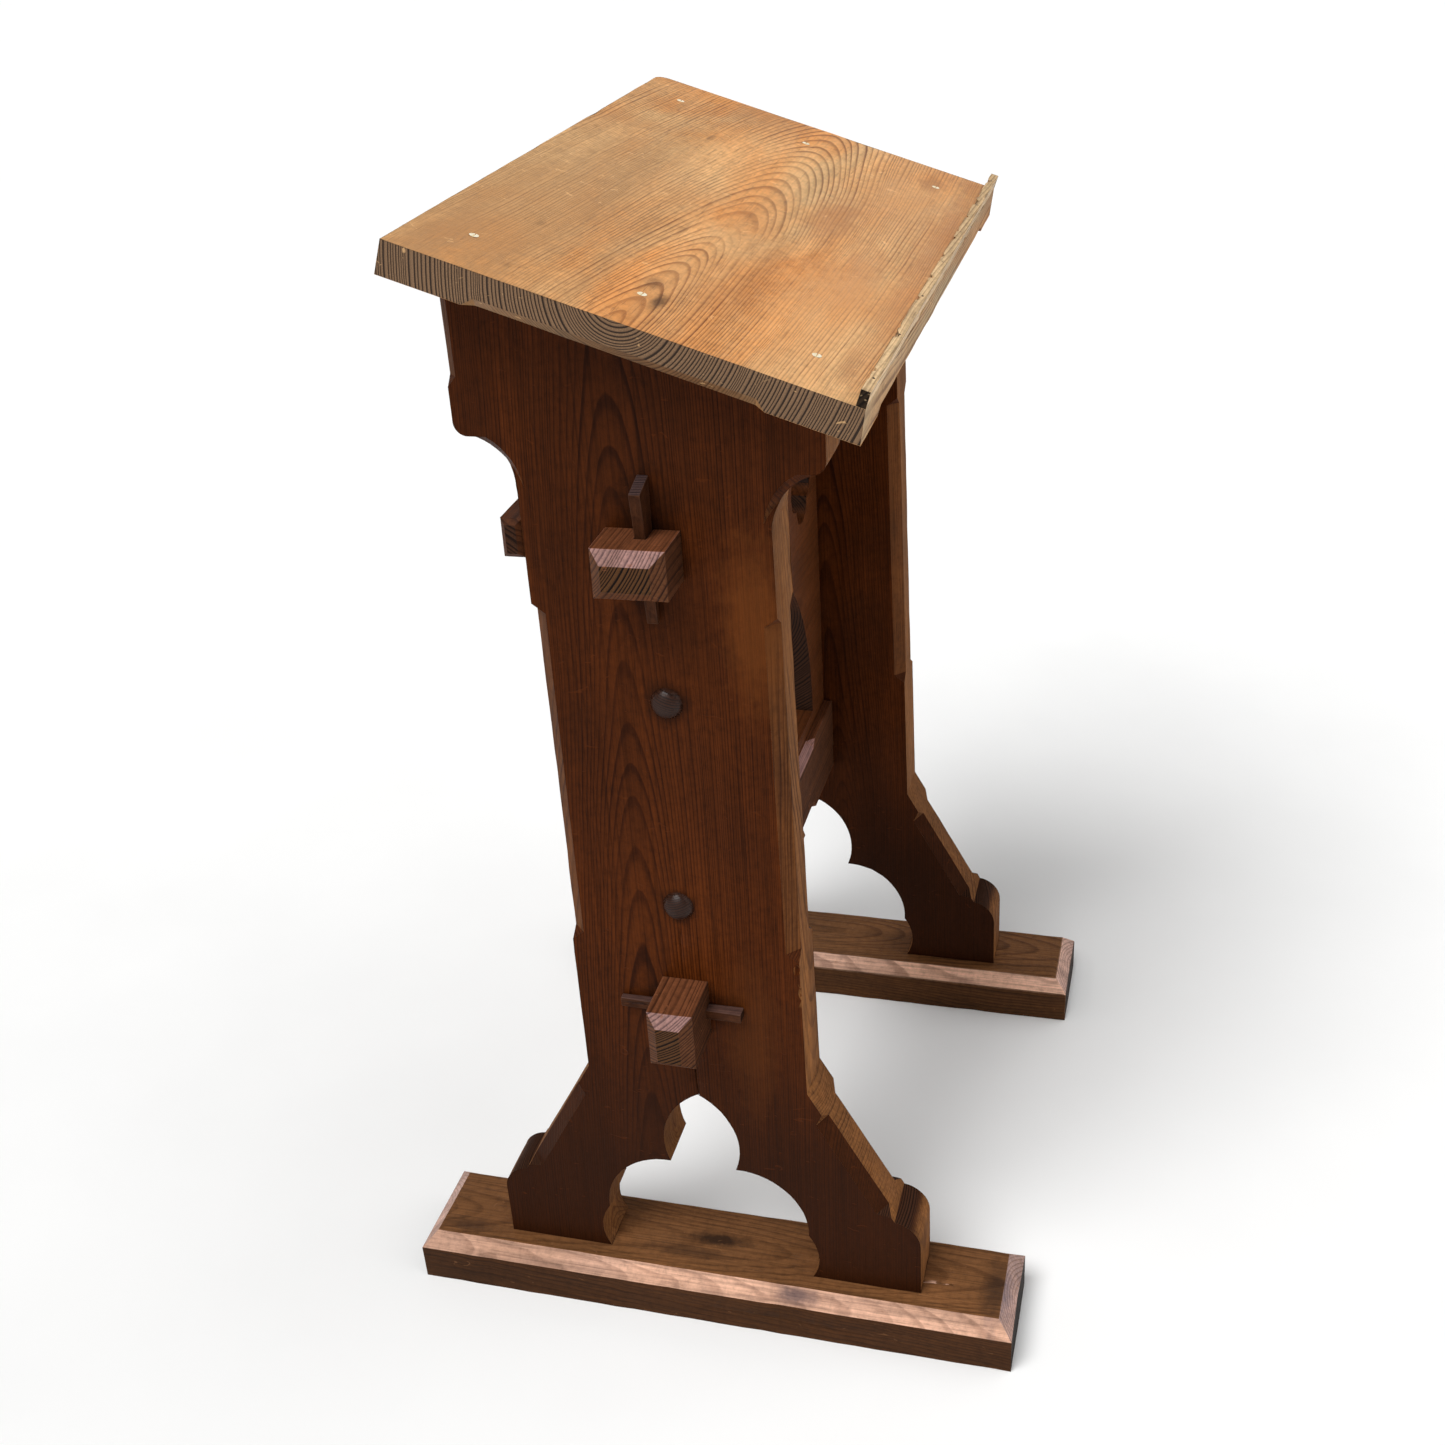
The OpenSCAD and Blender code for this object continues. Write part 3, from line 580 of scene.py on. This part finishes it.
# On the ledge: x and half-length
LEDGE_STAINS = ((-0.34, 0.018), (-0.28, 0.010), (-0.215, 0.022), (-0.12, 0.014), (-0.05, 0.009),
                (0.01, 0.020), (0.09, 0.012), (0.16, 0.018), (0.25, 0.012), (0.33, 0.016))
ledge_marks = [(on_desk_top(x, 0.3915), w * 1.2, 0.0062, (0.085, 0.052, 0.034), 0.75)
               for x, w in LEDGE_STAINS]
sledge_marks = [
    ((foot_lo.x + 0.062, -0.004, foot_hi.z), 0.040, 0.012, TAR, 0.85),
    ((foot_lo.x + 0.040, 0.030, foot_hi.z), 0.060, 0.010, (0.030, 0.014, 0.008), 0.5),
    ((foot_lo.x + 0.010, -0.095, foot_hi.z - 0.010), 0.030, 0.010, TAR, 0.7),
    ((foot_lo.x + 0.030, 0.270, foot_hi.z), 0.035, 0.014, (0.035, 0.017, 0.010), 0.5),
    ((foot_lo.x + 0.050, -0.296, foot_hi.z), 0.018, 0.050, (0.020, 0.012, 0.009), 0.6),
]
panel_marks = [
    ((panel_lo.x, -0.085, 0.800), 0.100, 0.036, (0.150, 0.044, 0.0090), 0.45),
    ((panel_lo.x, -0.060, 0.360), 0.120, 0.030, (0.110, 0.032, 0.0070), 0.35),
]
for around, long, wide in (("left_upper_peg", 0.026, 0.024), ("left_lower_peg", 0.022, 0.020),
                           ("left_top_wedge", 0.075, 0.036), ("left_bottom_wedge", 0.026, 0.060)):
    a_lo, a_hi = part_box(around)
    place = (panel_lo.x, (a_lo.y + a_hi.y) / 2, (a_lo.z + a_hi.z) / 2)
    panel_marks.append((place, long, wide, GRIME, 0.75))

# ---------------------------------------------------------------- materials
# On the panels the faces tone paints light onto the front and back edges, which look along Y; the panels are
# also darker towards the bottom.
PANEL = dict(
    early=(0.069, 0.0168, 0.0036), late=(0.0160, 0.0038, 0.0014), stain=(0.020, 0.0066, 0.0028),
    worn=(0.20, 0.085, 0.035), worn_amount=0.5, contrast=0.9, low_darkening=0.75, rough=0.42, spec=0.035,
    faces=(Y, (2.9, 4.9, 8.4), 1.0), wild=0.30, fade=0.6, tint=((1.45, 1.40, 1.1), 0.8))
panel_l = wood("panel_pine_left", Z, Y, (panel_lo.x + 0.058, 0.036, 0.70), lean=(0.03, 0.045),
               ring=0.0021, wob=0.005, seed=1.3, stain_amount=0.45, marks=panel_marks, **PANEL)
panel_r = wood("panel_pine_right", Z, Y, (-panel_lo.x - 0.100, -0.02, 0.60), lean=(-0.02, -0.045),
               ring=0.0022, wob=0.008, seed=4.1, stain_amount=0.5, **PANEL)
# On the desk the faces tone is painted shade on the front and back edges, and the factor for faces that look
# down is painted shade on the underside.
desk_m = wood("desk_pine", X, slope, desk_mid + off_desk * 0.068 - slope * 0.004,
              lean=(0.032, -0.088), ring=0.0027, wob=0.007,
              early=(0.78, 0.465, 0.208), late=(0.200, 0.078, 0.026),
              endtones=((0.215, 0.124, 0.066), (0.026, 0.014, 0.008)),
              stain=(0.34, 0.14, 0.050), stain_amount=0.42, contrast=1.0, fade=0.75, underside_shade=0.3,
              faces=(slope, (0.62, 0.74, 0.92), 0.9), marks=desk_marks,
              worn=(0.50, 0.29, 0.14), worn_amount=0.4, rough=0.42, spec=0.22,
              fibre=0.17, seed=2.2, wild=0.2, tint=((0.97, 0.68, 0.43), 0.9))
ledge_m = wood("ledge_pine", X, slope, (0.1, desk_lo.y - 0.05, desk_lo.z - 0.03),
               lean=(0.03, 0.02), ring=0.003, wob=0.01,
               early=(0.68, 0.47, 0.255), late=(0.27, 0.150, 0.070),
               endtones=((0.03, 0.018, 0.010), (0.010, 0.006, 0.004)),
               stain=(0.24, 0.145, 0.085), stain_amount=0.6, contrast=1.0, soil_fine=2.4,
               worn=(0.60, 0.36, 0.19), worn_amount=0.35, rough=0.5, spec=0.08, seed=7.7,
               marks=ledge_marks)
# On the sledges the arris tone is a painted highlight on the chamfers that look up, and the faces tone is
# painted shade on the sides, which look along X.
SLEDGE = dict(
    lean=(0.02, 0.05), ring=0.0030, wob=0.014, early=(0.165, 0.072, 0.028), late=(0.058, 0.022, 0.008),
    stain=(0.022, 0.010, 0.005), stain_amount=0.22, worn=(0.30, 0.18, 0.12), worn_amount=0.4,
    rough=0.44, spec=0.12, wild=0.25, tint=((1.35, 1.3, 1.2), 0.8), arris=((5.0, 7.0, 13.5), 0.95, 0.0))
sledge_l = wood("sledge_pine", Y, X, (-0.29, 0.0, -0.02), contrast=0.62, seed=3.3, marks=sledge_marks,
                endtones=((0.026, 0.019, 0.015), (0.010, 0.007, 0.005)),
                faces=(X, (0.34, 0.30, 0.26), 1.0), **SLEDGE)
sledge_r = wood("sledge_pine_right", Y, X, (0.29, 0.0, -0.03), contrast=0.8, seed=4.7,
                endtones=((0.034, 0.022, 0.016), (0.012, 0.008, 0.006)),
                faces=(X, (0.46, 0.42, 0.36), 1.0), **SLEDGE)
# On the rails the arris tone is a painted highlight on the chamfers that look up, and the faces tone is
# painted shade on the front and back faces.
RAIL = dict(
    ring=0.0034, wob=0.005, early=(0.180, 0.062, 0.0260), late=(0.040, 0.0125, 0.0062),
    stain=(0.014, 0.006, 0.004), endtones=((0.090, 0.038, 0.014), (0.0048, 0.0024, 0.0018)),
    stain_amount=0.3, contrast=1.0, worn=(0.20, 0.10, 0.06), worn_amount=0.3, rough=0.36, spec=0.08,
    wild=0.2, arris=((2.6, 4.0, 8.6), 0.95, 0.0), faces=(Y, (0.50, 0.50, 0.46), 1.0))
rail_t = wood("rail_pine_top", X, Y, (0.0, 0.137, 0.935), lean=(0.01, 0.02), seed=5.5, **RAIL)
rail_b = wood("rail_pine_bottom", X, Y, (0.0, 0.088, 0.5145), lean=(-0.01, 0.02), seed=6.5, **RAIL)
tracery_m = wood("tracery_pine", X, Z, (0.0, 0.09, 0.60), lean=(0.02, 0.03), ring=0.0034, wob=0.006,
                 early=(0.110, 0.033, 0.010), late=(0.026, 0.0075, 0.0028),
                 stain=(0.020, 0.0070, 0.0035), stain_amount=0.25, contrast=0.42,
                 worn=(0.18, 0.08, 0.04), worn_amount=0.3, rough=0.42, spec=0.08, seed=6.1)
rear_m = wood("rear_rail_pine", X, Y, (0.0, 0.16, 0.80), lean=(0.02, 0.03), ring=0.004, wob=0.01,
              early=(0.105, 0.030, 0.0085), late=(0.024, 0.0068, 0.0026),
              stain=(0.016, 0.006, 0.003), stain_amount=0.3, contrast=0.8,
              worn=(0.18, 0.08, 0.04), worn_amount=0.3, rough=0.42, spec=0.06, seed=8.4)
# On the wedges the arris tone is a painted highlight on the chamfers that look up and on the tops.
WEDGE = dict(
    lean=(0.03, 0.02), ring=0.0028, wob=0.006, early=(0.070, 0.024, 0.010),
    late=(0.030, 0.0100, 0.0048), stain=(0.015, 0.007, 0.005), stain_amount=0.4, contrast=0.6,
    worn=(0.16, 0.09, 0.06), worn_amount=0.25, rough=0.42, spec=0.04, arris=((1.8, 2.7, 5.0), 0.9, 1.0))
wedge_m = wood("wedge_wood", Z, Y, (0.0, 0.03, 0.86), seed=9.2, **WEDGE)
wedge_b = wood("wedge_wood_flat", Y, Z, (0.0, 0.0, 0.42), seed=9.9, **WEDGE)
peg_m = wood("peg_wood", X, Y, (0.0, 0.02, 0.61), lean=(0.03, 0.02), ring=0.0022, wob=0.004,
             early=(0.036, 0.0125, 0.0062), late=(0.010, 0.0034, 0.0020),
             endtones=((0.036, 0.0125, 0.0062), (0.009, 0.003, 0.0018)),
             stain=(0.010, 0.004, 0.003), stain_amount=0.4, contrast=0.9,
             worn=(0.13, 0.06, 0.03), worn_amount=0.3, rough=0.24, spec=0.20, seed=2.9)
brass = metal("brass", (1.0, 0.93, 0.74), (0.88, 0.76, 0.50), 0.45, 0.15, 0.1)
iron = metal("iron", (0.12, 0.10, 0.09), (0.07, 0.055, 0.05), 0.5, 0.6, 0.8)

# ---------------------------------------------------------------- the boards
PANEL_STEPS = (0.019, 0.030, 0.022)
SLEDGE_STEPS = (0.05, 0.020, 0)
SLEDGE_WEAR = dict(wave=0.0007, dent=0.0014)
left_panel = worn("left_end_panel", panel_l, "panel_pine", PANEL_STEPS, 0.0016, dent=0.0007, seed=1.0)
worn("right_end_panel", panel_r, "panel_pine", PANEL_STEPS, 0.0016, dent=0.0007, seed=2.0)
left_sledge = worn("left_sledge_foot", sledge_l, "sledge_pine", SLEDGE_STEPS, 0.0018, seed=3.0,
                   **SLEDGE_WEAR)
worn("right_sledge_foot", sledge_r, "sledge_pine", SLEDGE_STEPS, 0.0018, seed=4.0, **SLEDGE_WEAR)
worn("desk_board", desk_m, "desk_pine", (0.022, 0.030, 0), 0.0016, wave=0.0005, dent=0.0012, seed=5.0)
ledge = worn("book_ledge", ledge_m, "ledge_pine", (0.008, 0, 0), 0.0008, wave=0.0005, dent=0.0010,
             seed=6.0, lump=0.0010)
worn("top_rail", rail_t, "rail_pine", (0.025, 0.016, 0.017), 0.0014, seed=7.0)
worn("bottom_rail", rail_b, "rail_pine", (0.025, 0.015, 0.018), 0.0014, seed=8.0)
worn("tracery_panel", tracery_m, "tracery_pine", (0.03, 0, 0.03), 0.0010, seed=9.0, flat=0.0001,
     wave=0.0002)
worn("rear_rail", rear_m, "rear_rail_pine", (0.03, 0, 0), 0.0012, seed=10.0)

# ---------------------------------------------------------------- cracks and splinters
outer = panel_lo.x
apex_line = run((outer, -0.002, ARCH_APEX - 0.006), (outer, 0.000, 0.358), 11, X, 0.0012, Y)
above_line = run((outer, 0.004, 0.432), (outer, 0.002, 0.492), 9, X, 0.0010, Y)
flare_line = run((-0.290, -0.2170, 0.075), (-0.289, -0.1700, 0.192), 10, (0, 0.87, -0.48), 0.001, X)
cut(left_panel, [
    split_line("crack_apex", apex_line, 0.0026, 0.014, 1.0),
    split_line("crack_above", above_line, 0.0009, 0.008, 2.0),
    split_line("crack_foot", flare_line, 0.0014, 0.012, 3.0),
])
end_line = run((foot_lo.x + 0.050, foot_lo.y + 0.004, foot_hi.z - 0.004),
               (foot_lo.x + 0.046, foot_lo.y + 0.115, foot_hi.z - 0.0005), 12, -Z, 0.002, X)
side_line = run((foot_lo.x, -0.200, 0.018), (foot_lo.x, 0.060, 0.022), 16, X, 0.0015, Z)
cut(left_sledge, [
    split_line("crack_end", end_line, 0.0013, 0.010, 5.0),
    split_line("crack_side", side_line, 0.0010, 0.006, 6.0),
])
# Splinters out of the ledge's top front arris, mostly where it is nailed: x and half-width
BITES = ((-0.338, 0.011), (-0.318, 0.006), (-0.226, 0.013), (-0.205, 0.007), (-0.121, 0.009),
         (-0.052, 0.006), (0.004, 0.012), (0.021, 0.006), (0.086, 0.008), (0.117, 0.010),
         (0.172, 0.006), (0.236, 0.012), (0.262, 0.006), (0.331, 0.010))
for i, (x, w) in enumerate(BITES):
    at = Vector(on_desk_top(x, 0.392)) + off_desk * 0.0140
    size = (w * 1.25, 0.0032 + 0.0012 * (i % 3), 0.0036 + 0.0012 * (i % 2))
    cut(ledge, [chip("bite_%d" % i, at, size, i * 2.3)])
# Knocks on the flare's inner arris and on the shoulders of the front legs: place and size
KNOCKS = (((panel_hi.x, -0.152, 0.238), (0.007, 0.006, 0.012)),
          ((panel_hi.x, -0.170, 0.200), (0.005, 0.004, 0.009)),
          ((panel_lo.x, -0.112, 0.420), (0.004, 0.004, 0.009)),
          ((panel_lo.x, -0.108, 0.446), (0.003, 0.004, 0.007)))
for i, (place, size) in enumerate(KNOCKS):
    cut(left_panel, [chip("knock_%d" % i, place, size, i * 3.7)])

# ---------------------------------------------------------------- wedges
WEDGE_WEAR = dict(flat=0.00005, wave=0.0001, dent=0.0003)
for side, way in (("left", 1), ("right", -1)):
    worn(side + "_top_wedge", wedge_m, "wedge_wood", (0, 0, 0.012), 0.0010, body=side + "_top_wedge",
         seed=11.0, **WEDGE_WEAR)
    flat_wedge = worn(side + "_bottom_wedge", wedge_b, "wedge_wood", (0, 0.012, 0), 0.0010,
                      body=side + "_bottom_wedge", seed=12.0, **WEDGE_WEAR)
    w_lo, w_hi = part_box(side + "_bottom_wedge")
    out_x = w_lo.x if side == "left" else w_hi.x
    mid_z = (w_lo.z + w_hi.z) / 2
    line = run((out_x + way * 0.0044, w_hi.y - 0.036, mid_z + 0.001),
               (out_x + way * 0.0059, w_hi.y + 0.001, mid_z - 0.0005), 9, X * way, 0.0004, Z)
    cut(flat_wedge, [split_line("split_" + side, line, 0.0014, 0.005, 7.0)])

# ---------------------------------------------------------------- pegs, screws and nails
# These keep their CAD shape
for name, ob in nodes_of.items():
    mat = None
    if name.endswith("_peg"):
        mat = peg_m
    elif "screw" in name:
        mat = brass
    elif "nail" in name:
        mat = iron
    if mat:
        for held in ob.material_slots:
            held.material = mat

# ---------------------------------------------------------------- floor and light
# Half the side of the floor, in metres
REACH = 30
corners = [(-REACH, -REACH, 0), (REACH, -REACH, 0), (REACH, REACH, 0), (-REACH, REACH, 0)]
fme = bpy.data.meshes.new("floor")
fme.from_pydata(corners, [], [(0, 1, 2, 3)])
floor = bpy.data.objects.new("floor", fme)
scene.collection.objects.link(floor)
fg = Graph("floor_paper")
fg.bsdf.inputs["Roughness"].default_value = 0.9
fg.bsdf.inputs["Specular IOR Level"].default_value = 0.1
fp = fg.noise(fg.coord("Object"), 3.0, 3.0, 0.5)
fg.put(fg.bsdf.inputs["Base Color"], fg.ramp(fp, (0.3, (0.90, 0.90, 0.895)), (0.7, (0.93, 0.93, 0.925))))
fme.materials.append(fg.mat)

world = bpy.data.worlds.new("studio")
world.use_nodes = True
wt = world.node_tree
way_up = wt.nodes.new("ShaderNodeSeparateXYZ")
wt.links.new(wt.nodes.new("ShaderNodeTexCoord").outputs["Generated"], way_up.inputs[0])
sky = wt.nodes.new("ShaderNodeValToRGB")
sky.color_ramp.elements.new(0.10)
for e, (place, v) in zip(sky.color_ramp.elements, ((0.02, 0.98), (0.10, 0.86), (0.26, 0.20))):
    e.position = place
    e.color = (v, v, v, 1)
wt.links.new(way_up.outputs[2], sky.inputs[0])
wt.links.new(sky.outputs[0], wt.nodes["Background"].inputs[0])
wt.nodes["Background"].inputs[1].default_value = 1.0
scene.world = world


def sun(name, towards, angle, strength, colour=(1, 1, 1)):
    li = bpy.data.lights.new(name, "SUN")
    li.angle = math.radians(angle)
    li.energy = strength
    li.color = colour
    ob = bpy.data.objects.new(name, li)
    ob.rotation_mode = "QUATERNION"
    ob.rotation_quaternion = Vector(towards).to_track_quat("Z", "Y")
    scene.collection.objects.link(ob)


sun("key_softbox", (-0.48, 0.25, 0.84), 36, 2.65)
sun("front_fill", (0.15, -0.72, 0.68), 70, 0.95)
scene.view_settings.view_transform = "Standard"
